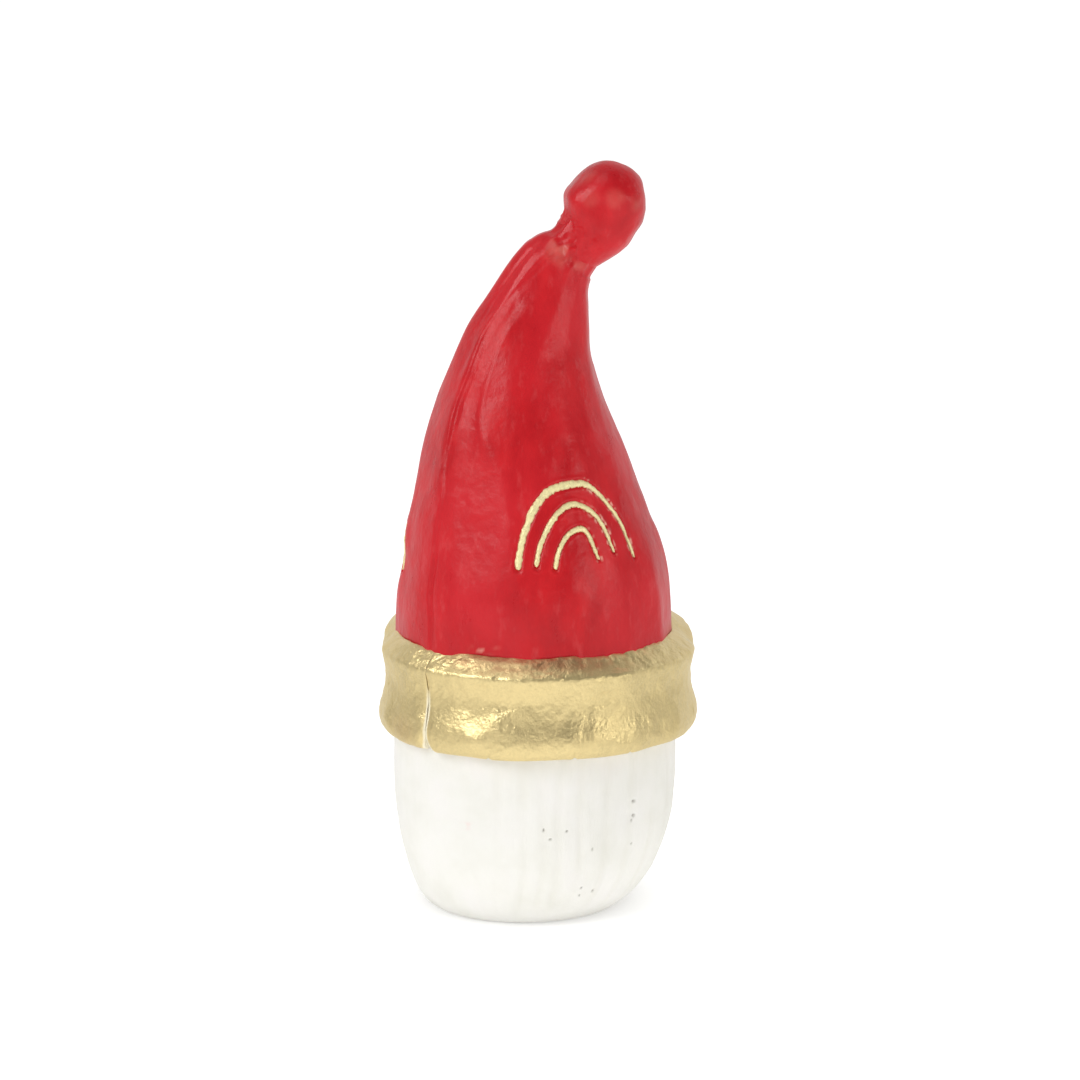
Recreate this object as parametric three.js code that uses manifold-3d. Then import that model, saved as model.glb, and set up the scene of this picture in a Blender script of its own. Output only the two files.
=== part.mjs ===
// A hand-built ceramic garden gnome: a tall leaning hat over a bearded body, with no arms or legs.
// Millimetres, +Z up. The origin is on the ground under the middle of the hat's cuff, and the gnome faces -Y.
//
// It is made from separate pieces of clay, luted together and painted:
//   beard_body   a thick pinch pot, the gnome's beard from the cuff down, with flutes combed into it
//   hat_cone     a slab rolled into a cone, its overlapped seam at the back, that sits on the body's spigot
//   hat_cuff     a strip wrapped round the hat's foot, its two ends meeting at the back
//   hat_bobble   a ball with a cup in it, pressed on the hat's tip
//   nose         a small ball in a thumbed seat, with the cuff lapped over its top
//   rainbow_*    gold lines lying in grooves that are pressed into the hat, three lines to each rainbow
//
// Azimuths are degrees round +Z, from the gnome's front (-Y) towards its left side (+X).
import * as THREE from "three";
import { mergeVertices } from "three/addons/utils/BufferGeometryUtils.js";
import Module from "manifold-3d";

const wasm = await Module();
wasm.setup();

// ---- Driving dimensions ----

const GAP = 0.3; // the slip joint between two pieces of clay
const LEAN_AZIMUTH = -40; // the hat's tip leans forward and towards the gnome's right hand

const FOOT_RADIUS = 18.4;
const FOOT_SHIFT = 2.2; // the body's foot lies this far behind its middle, away from the lean
const FOOT_SHIFT_HEIGHT = 18; // the foot's shift fades out by this height
const SHOULDER_HEIGHT = 38; // the hat's rim rests here on the body
const BODY_RADIUS = 28.4; // at its widest
const SPIGOT_RADIUS = 23.4; // the body's neck, inside the hat
const SPIGOT_TOP = 50;
const SPIGOT_WALL = 4.5;
const BODY_WALL = 7;
const BODY_FLOOR = 6;
const VENT_RADIUS = 4.5; // lets air and steam out of the hollow body in the kiln
const VENT_BACK = 9; // behind the middle, so that the middle of the foot is solid
const FLUTES = 30; // as many as would go right round the body
const FLUTE_DEPTH = 0.6;
const BEARD_HALF_ANGLE = 146; // the back of the body has no flutes

const HAT_RIM_RADIUS = 28.3;
const HAT_RADIUS_AT_CUFF_TOP = 28;
const HAT_WALL = 4;
const SEAM_AZIMUTH = 181;
const SEAM_STEP = 0.5; // the slab's outer end stands this far proud
const SEAM_FADE = 50; // and fades into the cone over this many degrees

const CUFF_BOTTOM = 36.2;
const CUFF_TOP = 55.8;
const CUFF_RADIUS = 31.6;
const CUFF_OFFSET = 0.7; // the strip is thicker on the side that the hat leans to
const CUFF_JOINT_AZIMUTH = 185.5;
const CUFF_JOINT_WIDTH = 0.8;

const BOBBLE_RADIUS = 8.1;
const BOBBLE_STRETCH = 1.05; // taller than it is wide
const BOBBLE_LEAN = 13.9; // from the origin, along the lean
const BOBBLE_HEIGHT = 141.4;

const NOSE_RADIUS = 5.5;
const NOSE_REACH = 29; // from the axis to the nose's middle
const NOSE_HEIGHT = 31.6;

// Where each rainbow's middle is, and the height of its lines' lower ends.
const RAINBOWS = {
  front: { azimuth: 0, foot: 72.5 },
  left: { azimuth: 119.5, foot: 68.7 },
  right: { azimuth: 254, foot: 73.8 },
};
// Each line's points on the unrolled hat, sideways and up from the middle of the rainbow's foot.
const RAINBOW_LINES = {
  outer: [
    [-13.2, -0.5],
    [-11, 5.6],
    [-8, 10.7],
    [-4.4, 14],
    [0.2, 15.2],
    [3.9, 14.9],
    [7.7, 11.7],
    [11, 6.8],
    [12.9, 0],
  ],
  middle: [[-9.5, 0], [-7.6, 4.6], [-4.4, 9], [-0.8, 11.3], [2.4, 10.9], [5.2, 8.2], [6.7, 4.6], [7.4, 1.7]],
  inner: [[-5.9, -0.5], [-4.3, 3.3], [-2, 5.9], [0.8, 6.8], [2.3, 5.6], [3.5, 0.8]],
};
const LINE_RADIUS = 0.6;
const LINE_SINK = 0.5; // the line's middle lies this far under the hat's surface
const LINE_STEPS = 14;
const LINE_SHORT = 0.03; // the gold stops this share of the line short of the groove's ends

// The hat's stations from its rim to its tip: how far the middle leans, its height, and the radius there.
const HAT_STATIONS = [
  [0, SHOULDER_HEIGHT + GAP, HAT_RIM_RADIUS],
  [0, 55, HAT_RADIUS_AT_CUFF_TOP],
  [-0.2, 67, 27.3],
  [-1.1, 77, 24.9],
  [-1.8, 87, 21.9],
  [-2.4, 96, 19.1],
  [-2.2, 104, 16.1],
  [-1.1, 112, 13.2],
  [0.9, 119, 10.4],
  [3.1, 126, 8.1],
  [5.6, 130.4, 6.7],
  [8.1, 133.2, 5.85],
  [11.5, 137.8, 5.55],
];
const HAT_HOLLOW_TOP = 7; // the station where the hollow inside the hat ends

// ---- Materials ----

const paint = (color, roughness, metalness) =>
  new THREE.MeshStandardMaterial({ color, roughness, metalness });
const redPaint = paint(0xc8232a, 0.35, 0);
const goldPaint = paint(0xcdb473, 0.4, 0.9);
const whiteClay = paint(0xf5f3ea, 0.75, 0);
const noseClay = paint(0xe2b296, 0.5, 0);

// ---- Solids ----

const point2 = (radius, height) => new THREE.Vector2(radius, height);

function direction(azimuth) {
  const angle = THREE.MathUtils.degToRad(azimuth);
  return new THREE.Vector3(Math.sin(angle), -Math.cos(angle), 0);
}

const azimuthOf = (p) => THREE.MathUtils.radToDeg(Math.atan2(p.x, -p.y));

// A profile of (radius, height) points, turned about +Z.
function turned(profile, segments) {
  return new THREE.LatheGeometry(profile, segments).rotateX(Math.PI / 2);
}

// Moves each vertex of a geometry by a function that changes the point it is given.
function reshaped(geometry, change) {
  const positions = geometry.attributes.position;
  const p = new THREE.Vector3();
  for (let i = 0; i < positions.count; i++) {
    p.fromBufferAttribute(positions, i);
    change(p);
    positions.setXYZ(i, p.x, p.y, p.z);
  }
  return geometry;
}

function solidOf(geometry) {
  const bare = geometry.clone().deleteAttribute("normal").deleteAttribute("uv");
  const merged = mergeVertices(bare, 1e-4);
  const corners = merged.index.array;
  const triVerts = [];
  for (let i = 0; i < corners.length; i += 3) {
    const [a, b, c] = corners.subarray(i, i + 3);
    if (a !== b && b !== c && c !== a) triVerts.push(a, b, c);
  }
  return new wasm.Manifold(
    new wasm.Mesh({
      numProp: 3,
      vertProperties: merged.attributes.position.array,
      triVerts: new Uint32Array(triVerts),
    }),
  );
}

function geometryOf(solid) {
  const mesh = solid.getMesh();
  return new THREE.BufferGeometry()
    .setAttribute("position", new THREE.BufferAttribute(mesh.vertProperties, 3))
    .setIndex(new THREE.BufferAttribute(mesh.triVerts, 1));
}

const cut = (geometry, ...tools) =>
  geometryOf(tools.reduce((left, tool) => left.subtract(solidOf(tool)), solidOf(geometry)));

const lean = direction(LEAN_AZIMUTH);
const aside = direction(LEAN_AZIMUTH + 90);
const up = new THREE.Vector3(0, 0, 1);

// ---- The hat ----

// x is the lean, y the height and z the radius, so one smooth curve gives all three.
const hatCurve = new THREE.CatmullRomCurve3(
  HAT_STATIONS.map(([leaning, height, radius]) => new THREE.Vector3(leaning, height, radius)),
);

// The hat's section a share of the way from its rim to its tip: its middle, radius and own two axes.
function hatSection(share) {
  const station = hatCurve.getPoint(share);
  const slope = hatCurve.getTangent(share);
  const steep = new THREE.Vector2(slope.x, slope.y).normalize();
  return {
    middle: lean.clone().multiplyScalar(station.x).addScaledVector(up, station.y),
    radius: station.z,
    across: lean.clone().multiplyScalar(steep.y).addScaledVector(up, -steep.x),
  };
}

// How far the slab's overlapped end stands proud at an azimuth.
function seamStep(azimuth) {
  const past = THREE.MathUtils.euclideanModulo(SEAM_AZIMUTH - azimuth, 360);
  return past < SEAM_FADE ? SEAM_STEP * (1 - past / SEAM_FADE) : 0;
}

// A point of the hat's outer surface, or at a radial offset from it.
function hatPoint(azimuth, share, offset = 0) {
  const { middle, radius, across } = hatSection(share);
  const out = direction(azimuth);
  const reach = radius + seamStep(azimuth) + offset;
  return middle
    .addScaledVector(across, reach * out.dot(lean))
    .addScaledVector(aside, reach * out.dot(aside));
}

// The cone is turned upright with its height as the share from rim to tip, and then bent along the curve.
function hatCone() {
  const last = HAT_STATIONS.length - 1;
  const rows = 20;
  const hollowRows = 6;
  const hollowShare = HAT_HOLLOW_TOP / last;
  const innerRadius = (share) => Math.min(SPIGOT_RADIUS + GAP, hatCurve.getPoint(share).z - HAT_WALL);
  const profile = [point2(0, hollowShare)];
  for (let i = hollowRows; i >= 0; i--) {
    const share = (hollowShare * i) / (hollowRows + 1);
    profile.push(point2(innerRadius(share), share));
  }
  for (let i = 0; i <= rows; i++) {
    const share = i / rows;
    profile.push(point2(hatCurve.getPoint(share).z, share));
  }
  profile.push(point2(0, 1));
  return reshaped(turned(profile, 40), (p) => {
    const radius = Math.hypot(p.x, p.y);
    const { middle, radius: outer, across } = hatSection(THREE.MathUtils.clamp(p.z, 0, 1));
    const outside = radius > outer - 0.01;
    const reach = radius + (outside ? seamStep(azimuthOf(p)) : 0);
    const out = p.clone().setZ(0).normalize();
    p.copy(middle)
      .addScaledVector(across, reach * out.dot(lean))
      .addScaledVector(aside, reach * out.dot(aside));
  });
}

// ---- The rainbows ----

// The share of the way up the hat at which its surface, at an azimuth, reaches a height.
function shareAtHeight(azimuth, height) {
  let low = 0;
  let high = 1;
  for (let i = 0; i < 20; i++) {
    const middle = (low + high) / 2;
    if (hatPoint(azimuth, middle).z < height) low = middle;
    else high = middle;
  }
  return low;
}

// A rainbow's line as a smooth curve under the hat's surface, stopped a share short of its two ends.
function rainbowPath({ azimuth, foot }, line, short) {
  const drawn = new THREE.SplineCurve(line.map(([sideways, rise]) => new THREE.Vector2(sideways, rise)));
  const points = [];
  for (let i = 0; i <= LINE_STEPS; i++) {
    const { x: sideways, y: rise } = drawn.getPoint(short + ((1 - 2 * short) * i) / LINE_STEPS);
    const height = foot + rise;
    const radius = hatSection(shareAtHeight(azimuth, height)).radius;
    const at = azimuth + THREE.MathUtils.radToDeg(sideways / radius);
    points.push(hatPoint(at, shareAtHeight(at, height), -LINE_SINK));
  }
  return new THREE.CatmullRomCurve3(points);
}

function lineAlong(path, radius) {
  const section = new THREE.Shape().absarc(0, 0, radius, 0, 2 * Math.PI);
  return new THREE.ExtrudeGeometry(section, {
    steps: LINE_STEPS,
    curveSegments: 3,
    bevelEnabled: false,
    extrudePath: path,
  });
}

const rainbows = Object.entries(RAINBOWS).flatMap(([side, rainbow]) =>
  Object.entries(RAINBOW_LINES).map(([place, line]) => ({
    name: `rainbow_${side}_${place}`,
    groove: lineAlong(rainbowPath(rainbow, line, 0), LINE_RADIUS + GAP),
    gold: lineAlong(rainbowPath(rainbow, line, LINE_SHORT), LINE_RADIUS),
  })),
);

// ---- The bobble ----

const bobbleMiddle = lean.clone().multiplyScalar(BOBBLE_LEAN).addScaledVector(up, BOBBLE_HEIGHT);

function bobble() {
  const ball = new THREE.SphereGeometry(BOBBLE_RADIUS, 20, 12)
    .rotateX(Math.PI / 2)
    .scale(1, 1, BOBBLE_STRETCH)
    .translate(...bobbleMiddle);
  const tip = hatSection(1);
  const tipWay = bobbleMiddle.clone().sub(tip.middle).normalize();
  const cupRadius = tip.radius + 2 * GAP;
  const cup = new THREE.CylinderGeometry(cupRadius, cupRadius, 2 * BOBBLE_RADIUS, 24)
    .translate(0, -BOBBLE_RADIUS, 0)
    .applyQuaternion(new THREE.Quaternion().setFromUnitVectors(new THREE.Vector3(0, 1, 0), tipWay))
    .translate(...tip.middle.addScaledVector(tipWay, GAP));
  return cut(ball, cup);
}

// ---- The nose ----

function noseBall(radius) {
  return new THREE.SphereGeometry(radius, 16, 10)
    .rotateX(Math.PI / 2)
    .translate(0, -NOSE_REACH, NOSE_HEIGHT);
}

// ---- The body ----

function beardBody() {
  const outline = new THREE.SplineCurve([
    point2(FOOT_RADIUS, 0),
    point2(19.8, 0.6),
    point2(22.2, 3),
    point2(24.5, 7),
    point2(26.3, 12),
    point2(27.6, 17.5),
    point2(28.2, 23),
    point2(BODY_RADIUS, 29),
    point2(BODY_RADIUS - 0.1, SHOULDER_HEIGHT),
  ]);
  const hollowOutline = new THREE.SplineCurve([
    point2(0, BODY_FLOOR),
    point2(15, BODY_FLOOR + 2),
    point2(BODY_RADIUS - BODY_WALL - 1.4, 15),
    point2(BODY_RADIUS - BODY_WALL, 26),
    point2(SPIGOT_RADIUS - SPIGOT_WALL, SHOULDER_HEIGHT),
    point2(SPIGOT_RADIUS - SPIGOT_WALL, SPIGOT_TOP + 1),
  ]);
  const profile = [
    point2(0, 0),
    ...outline.getPoints(10),
    point2(SPIGOT_RADIUS, SHOULDER_HEIGHT),
    point2(SPIGOT_RADIUS - GAP, SPIGOT_TOP),
    point2(0, SPIGOT_TOP),
  ];
  const hollow = turned([...hollowOutline.getPoints(7), point2(0, SPIGOT_TOP + 1)], 36);
  const pot = reshaped(turned(profile, 3 * FLUTES), (p) => {
    const azimuth = azimuthOf(p);
    const radius = Math.hypot(p.x, p.y);
    const fluted = radius > 22 && Math.abs(azimuth) < BEARD_HALF_ANGLE && p.z > 1 && p.z < SHOULDER_HEIGHT;
    if (fluted) {
      const flute = Math.max(0, Math.cos(THREE.MathUtils.degToRad(FLUTES * azimuth)));
      p.addScaledVector(direction(azimuth), -FLUTE_DEPTH * flute);
    }
    const low = Math.max(0, 1 - p.z / FOOT_SHIFT_HEIGHT);
    p.addScaledVector(lean, -FOOT_SHIFT * low * low);
  });
  const vent = new THREE.CylinderGeometry(VENT_RADIUS, VENT_RADIUS, 4 * BODY_FLOOR, 24)
    .rotateX(Math.PI / 2)
    .translate(0, VENT_BACK, 0);
  return cut(pot, hollow, vent, noseBall(NOSE_RADIUS + GAP));
}

// ---- The cuff ----

function hatCuff() {
  const outline = new THREE.SplineCurve([
    point2(CUFF_RADIUS - 1.4, CUFF_BOTTOM),
    point2(CUFF_RADIUS - 0.4, CUFF_BOTTOM + 1.1),
    point2(CUFF_RADIUS, CUFF_BOTTOM + 3.5),
    point2(CUFF_RADIUS - 0.9, CUFF_BOTTOM + 9.5),
    point2(CUFF_RADIUS - 0.5, CUFF_BOTTOM + 14.5),
    point2(CUFF_RADIUS - 0.3, CUFF_BOTTOM + 16.6),
    point2(CUFF_RADIUS - 1, CUFF_BOTTOM + 18),
    point2(CUFF_RADIUS - 2, CUFF_TOP),
  ]);
  const profile = [
    point2(BODY_RADIUS + GAP, CUFF_BOTTOM),
    ...outline.getPoints(12),
    point2(HAT_RADIUS_AT_CUFF_TOP + 2 * GAP + SEAM_STEP, CUFF_TOP),
    point2(HAT_RIM_RADIUS + 2 * GAP + SEAM_STEP, SHOULDER_HEIGHT + 1),
    point2(BODY_RADIUS + GAP, CUFF_BOTTOM),
  ];
  const strip = reshaped(turned(profile, 48), (p) => {
    const outward = THREE.MathUtils.smoothstep(Math.hypot(p.x, p.y), 29.5, 30.5);
    p.addScaledVector(lean, CUFF_OFFSET * outward);
  });
  const joint = new THREE.BoxGeometry(CUFF_JOINT_WIDTH, CUFF_RADIUS, 2 * CUFF_TOP)
    .translate(0, -CUFF_RADIUS, 0)
    .rotateZ(THREE.MathUtils.degToRad(CUFF_JOINT_AZIMUTH));
  return cut(strip, joint, noseBall(NOSE_RADIUS + GAP));
}

// ---- The gnome ----

function piece(name, geometry, material) {
  const mesh = new THREE.Mesh(geometry, material);
  mesh.name = name;
  return mesh;
}

const gnome = new THREE.Group();
gnome.add(
  piece("beard_body", beardBody(), whiteClay),
  piece("nose", noseBall(NOSE_RADIUS), noseClay),
  piece("hat_cone", cut(hatCone(), ...rainbows.map(({ groove }) => groove)), redPaint),
  piece("hat_cuff", hatCuff(), goldPaint),
  piece("hat_bobble", bobble(), redPaint),
  ...rainbows.map(({ name, gold }) => piece(name, gold, goldPaint)),
);

export default gnome;
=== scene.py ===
"""The looks of a hand-built ceramic garden gnome.

It has a red leaning hat, a gold cuff, gold rainbows and a white fluted beard. Shapes are worked out in
millimetres and turned into metres when a mesh is made. Azimuths are degrees round +Z from the gnome's
front (-Y) towards its left side (+X). A "share" runs from 0 at the hat's rim to 1 at its tip.
"""

import itertools

import bmesh
import bpy
import numpy as np
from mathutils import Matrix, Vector


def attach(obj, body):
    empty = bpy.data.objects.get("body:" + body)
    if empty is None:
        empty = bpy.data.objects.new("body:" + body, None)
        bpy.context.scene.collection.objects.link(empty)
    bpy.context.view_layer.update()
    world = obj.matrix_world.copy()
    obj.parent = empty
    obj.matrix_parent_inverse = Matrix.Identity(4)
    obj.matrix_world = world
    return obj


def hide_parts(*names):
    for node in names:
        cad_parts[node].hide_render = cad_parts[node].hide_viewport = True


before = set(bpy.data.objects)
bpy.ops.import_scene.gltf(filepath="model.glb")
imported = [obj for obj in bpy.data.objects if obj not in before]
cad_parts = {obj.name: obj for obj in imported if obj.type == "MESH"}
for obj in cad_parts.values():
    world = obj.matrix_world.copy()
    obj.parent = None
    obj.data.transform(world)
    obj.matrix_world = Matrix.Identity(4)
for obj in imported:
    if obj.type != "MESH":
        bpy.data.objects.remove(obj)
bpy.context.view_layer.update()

MM = 0.001
BODY = "root"

# ---- The camera, in degrees and metres ----

CAMERA_AZIMUTH = 230
CAMERA_ELEVATION = 11.5
CAMERA_DISTANCE = 0.85
CAMERA_LENS = 141.7
# The height of the gnome's middle, from which the camera and the lights stand off.
MIDDLE_HEIGHT = 0.075
# The point that the camera aims at: its height, and how far it is to the picture's right.
AIM_HEIGHT = 0.074
AIM_ASIDE = 0.0012

# ---- The gnome's sizes, in millimetres and degrees, nearly all of them the CAD's ----

LEAN_AZIMUTH = -40
FOOT_RADIUS = 18.4
FOOT_SHIFT = 2.2
FOOT_SHIFT_HEIGHT = 18
SHOULDER_HEIGHT = 38
BODY_RADIUS = 28.4
SPIGOT_RADIUS = 23.4
SPIGOT_TOP = 50
VENT_RADIUS = 4.5
VENT_BACK = 9
BEARD_HALF_ANGLE = 146
GAP = 0.3
HAT_WALL = 4
# The hat's stations from its rim to its tip: how far along the lean, how high, and how wide. It is hollow
# up to one of them.
HAT_HOLLOW_TOP = 6
HAT_STATIONS = np.array(
    [
        [0, SHOULDER_HEIGHT + GAP, 28.3],
        [0, 55, 28],
        [-0.2, 67, 27.3],
        [-1.1, 77, 24.9],
        [-1.8, 87, 21.9],
        [-2.4, 96, 19.1],
        [-2.2, 104, 16.1],
        [-1.1, 112, 13.2],
        [0.9, 119, 10.4],
        [3.1, 126, 8.1],
        [5.6, 130.4, 6.7],
        [8.1, 133.2, 5.85],
        [11.5, 137.8, 5.55],
    ]
)
SEAM_AZIMUTH = 181.5
CUFF_JOINT_AZIMUTH = 185.5
CUFF_OFFSET = 0.7
BOBBLE_LEAN = 13.9
BOBBLE_HEIGHT = 141.4
NOSE_RADIUS = 5.5
NOSE_REACH = 29
NOSE_HEIGHT = 31.6
RAINBOW_AZIMUTHS = {"front": 0, "left": 119.5, "right": 254}
RAINBOW_FEET = {"front": 72.5, "left": 68.7, "right": 73.8}
# Each line's points, sideways and up from the middle of the rainbow's foot, and its half widths from
# end to end.
RAINBOW_LINES = {
    "outer": (
        [(-13.2, -0.5), (-11, 5.6), (-8, 10.7), (-4.4, 14), (0.2, 15.2)]
        + [(3.9, 14.9), (7.7, 11.7), (11, 6.8), (12.9, 0)],
        (0.72, 0.75, 0.85, 0.5, 0.45),
    ),
    "middle": (
        [(-9.5, 0), (-7.6, 4.6), (-4.4, 9), (-0.8, 11.3)]
        + [(2.4, 10.9), (5.2, 8.2), (6.7, 4.6), (7.4, 1.7)],
        (0.58, 0.55, 0.65, 0.52, 0.4),
    ),
    "inner": (
        [(-5.9, -0.5), (-4.3, 3.3), (-2, 5.9), (0.8, 6.8), (2.3, 5.6), (3.5, 0.8)],
        (0.52, 0.5, 0.62, 0.4),
    ),
}
GROOVE_DEPTH = 0.5

# ---- Numbers on arrays ----


def direction(azimuth):
    """Unit vectors for an azimuth, or for an array of them."""
    angle = np.radians(azimuth)
    return np.stack([np.sin(angle), -np.cos(angle), np.zeros_like(angle)], axis=-1)


LEAN = direction(np.float64(LEAN_AZIMUTH))
ASIDE = direction(np.float64(LEAN_AZIMUTH + 90))
UP = np.array([0.0, 0.0, 1.0])
NOISE_CELLS = 32
NOISE_TABLE = np.random.default_rng(7).uniform(-1, 1, (NOISE_CELLS,) * 3)


def toward(azimuth, elevation):
    """The unit vector at an azimuth and elevation."""
    level = np.radians(elevation)
    return direction(np.float64(azimuth)) * np.cos(level) + UP * np.sin(level)


def lumps(points, size, seed=0):
    """Smooth noise from -1 to 1 at points, with lumps of a size, or of a size along each axis.

    Each seed reads another part of the table.
    """
    q = np.asarray(points) / np.asarray(size, float) + 5.37 * (seed + 1)
    cell = np.floor(q).astype(int)
    blend = q - cell
    blend = blend * blend * (3 - 2 * blend)
    total = 0
    for corner in itertools.product((0, 1), repeat=3):
        x, y, z = np.moveaxis((cell + corner) % NOISE_CELLS, -1, 0)
        weight = np.prod(np.where(corner, blend, 1 - blend), axis=-1)
        total = total + weight * NOISE_TABLE[x, y, z]
    return total


def step(value, low, high):
    """0 below low and 1 above high, with a smooth rise between them."""
    t = np.clip((value - low) / (high - low), 0, 1)
    return t * t * (3 - 2 * t)


def bump(value, width):
    """A smooth hump, 1 at value 0 and gone at the width."""
    t = np.clip(np.abs(value) / width, 0, 1)
    return (1 - t * t) ** 2


def turn_between(azimuth, other):
    """The signed angle from other to azimuth, from -180 to 180 degrees."""
    return (azimuth - other + 180) % 360 - 180


def spline(points, t):
    """A smooth curve through points, at t from 0 to the last point's number."""
    points = np.asarray(points, float)
    padded = np.vstack([2 * points[0] - points[1], points, 2 * points[-1] - points[-2]])
    i = np.clip(np.floor(t).astype(int), 0, len(points) - 2)
    f = (t - i)[..., None]
    a, b, c, d = (padded[i + k] for k in range(4))
    return b + f * (c - a) / 2 + f**2 * (a - 2.5 * b + 2 * c - d / 2) + f**3 * (d - a + 3 * (b - c)) / 2


def smoothed(path, spread):
    """A path of points with its corners rounded over a spread of points."""
    reach = 3 * spread
    before = 2 * path[0] - path[reach:0:-1]
    after = 2 * path[-1] - path[-2 : -2 - reach : -1]
    padded = np.vstack([before, path, after])
    kernel = np.exp(-((np.arange(-reach, reach + 1) / spread) ** 2))
    kernel /= kernel.sum()
    return np.stack([np.convolve(column, kernel, "valid") for column in padded.T], axis=1)


def graded(low, high, spacing):
    """Numbers from low to high whose steps follow spacing, a function of the number."""
    fine = np.linspace(low, high, 4000)
    density = 1 / spacing(fine)
    run = np.concatenate([[0], np.cumsum((density[1:] + density[:-1]) / 2 * np.diff(fine))])
    return np.interp(np.linspace(0, run[-1], int(run[-1]) + 2), run, fine)


# ---- Meshes ----


def lofted(name, loops, material, node, attributes=None):
    """A closed solid skinned over closed loops of points in millimetres, with its two ends capped."""
    count, around, _ = loops.shape
    ends = loops[[0, -1]].mean(axis=1)
    points = np.vstack([loops.reshape(-1, 3), ends]) * MM
    index = np.arange(count * around).reshape(count, around)
    beside = np.roll(index, -1, axis=1)
    quads = np.stack([index[:-1], beside[:-1], beside[1:], index[1:]], axis=-1).reshape(-1, 4)
    first, last = count * around, count * around + 1
    fans = [(first, b, a) for a, b in zip(index[0], beside[0])]
    fans += [(last, a, b) for a, b in zip(index[-1], beside[-1])]
    mesh = bpy.data.meshes.new(name)
    mesh.from_pydata(points.tolist(), [], quads.tolist() + [tuple(map(int, f)) for f in fans])
    for key, values in (attributes or {}).items():
        end_values = values[[0, -1]].mean(axis=1)
        data = np.concatenate([values.reshape(-1), end_values]).astype(np.float32)
        mesh.attributes.new(key, "FLOAT", "POINT").data.foreach_set("value", data)
    tidy_faces(mesh)
    return piece(name, mesh, material, node)


def tidy_faces(mesh):
    """Merges doubled points, turns every face outwards and shades the mesh smooth."""
    faces = bmesh.new()
    faces.from_mesh(mesh)
    bmesh.ops.remove_doubles(faces, verts=faces.verts, dist=1e-7)
    bmesh.ops.recalc_face_normals(faces, faces=faces.faces)
    for face in faces.faces:
        face.smooth = True
    faces.to_mesh(mesh)
    faces.free()


def piece(name, mesh, material, node):
    """A visible piece that stands for a CAD node."""
    made = bpy.data.objects.new(name, mesh)
    bpy.context.scene.collection.objects.link(made)
    made.data.materials.append(material)
    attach(made, BODY)
    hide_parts(node)
    return made


# ---- Materials ----


class Nodes:
    """A node tree, with short ways to add and join nodes."""

    def __init__(self, tree):
        self.nodes = tree.nodes
        self.links = tree.links

    def add(self, kind, inputs=None, **settings):
        """A new node, its inputs given as values or as other nodes' outputs."""
        node = self.nodes.new(kind)
        for key, value in settings.items():
            setattr(node, key, value)
        for key, value in (inputs or {}).items():
            self.set(node.inputs[key], value)
        return node

    def set(self, socket, value):
        if isinstance(value, bpy.types.NodeSocket):
            self.links.new(value, socket)
        else:
            socket.default_value = value

    def ramp(self, value, *stops):
        """Colours, or greys given as one number, at places along a value."""
        node = self.add("ShaderNodeValToRGB", {"Fac": value})
        elements = node.color_ramp.elements
        while len(elements) < len(stops):
            elements.new(1)
        for element, (place, colour) in zip(elements, stops):
            element.position = place
            grey = isinstance(colour, (int, float))
            element.color = (colour,) * 3 + (1,) if grey else (*colour, 1)
        return node.outputs["Color"]

    def ranged(self, value, old, new):
        """A value whose old range is turned into a new one."""
        inputs = {"Value": value}
        inputs["From Min"], inputs["From Max"] = old
        inputs["To Min"], inputs["To Max"] = new
        return self.add("ShaderNodeMapRange", inputs).outputs[0]


class Shader(Nodes):
    """A new material's node tree."""

    def __init__(self, name):
        self.material = bpy.data.materials.new(name)
        self.material.use_nodes = True
        super().__init__(self.material.node_tree)
        self.surface = self.nodes["Principled BSDF"]

    def finish(self, **values):
        """Sets the surface's inputs, whose names are given with _ for a space, and gives the material."""
        for key, value in values.items():
            self.set(self.surface.inputs[key.replace("_", " ")], value)
        return self.material

    def place(self, scale=(1, 1, 1)):
        """Object coordinates in millimetres, stretched by a scale."""
        coordinates = self.add("ShaderNodeTexCoord").outputs["Object"]
        per_millimetre = [s / MM for s in scale]
        return self.add("ShaderNodeMapping", {"Vector": coordinates, "Scale": per_millimetre}).outputs[0]

    def noise(self, size, detail=3, scale=(1, 1, 1), roughness=0.5):
        """Noise from 0 to 1, its largest lumps being of a size in millimetres."""
        inputs = {
            "Vector": self.place(scale),
            "Scale": 1 / size,
            "Detail": detail,
            "Roughness": roughness,
        }
        return self.add("ShaderNodeTexNoise", inputs).outputs["Fac"]

    def mix(self, share, low, high):
        """The colour low where share is 0, high where it is 1, and a mix of both between."""
        node = self.add("ShaderNodeMix", data_type="RGBA")
        for socket, value in zip((node.inputs[0], node.inputs[6], node.inputs[7]), (share, low, high)):
            self.set(socket, (*value, 1) if isinstance(value, tuple) else value)
        return node.outputs[2]

    def attribute(self, name):
        return self.add("ShaderNodeAttribute", attribute_name=name).outputs["Fac"]

    def bump(self, height, distance, below=None):
        """A bumped normal, height being a value from 0 to 1 and distance its size in millimetres."""
        inputs = {"Height": height, "Distance": distance * MM, "Strength": 1}
        if below is not None:
            inputs["Normal"] = below
        return self.add("ShaderNodeBump", inputs).outputs["Normal"]


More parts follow.
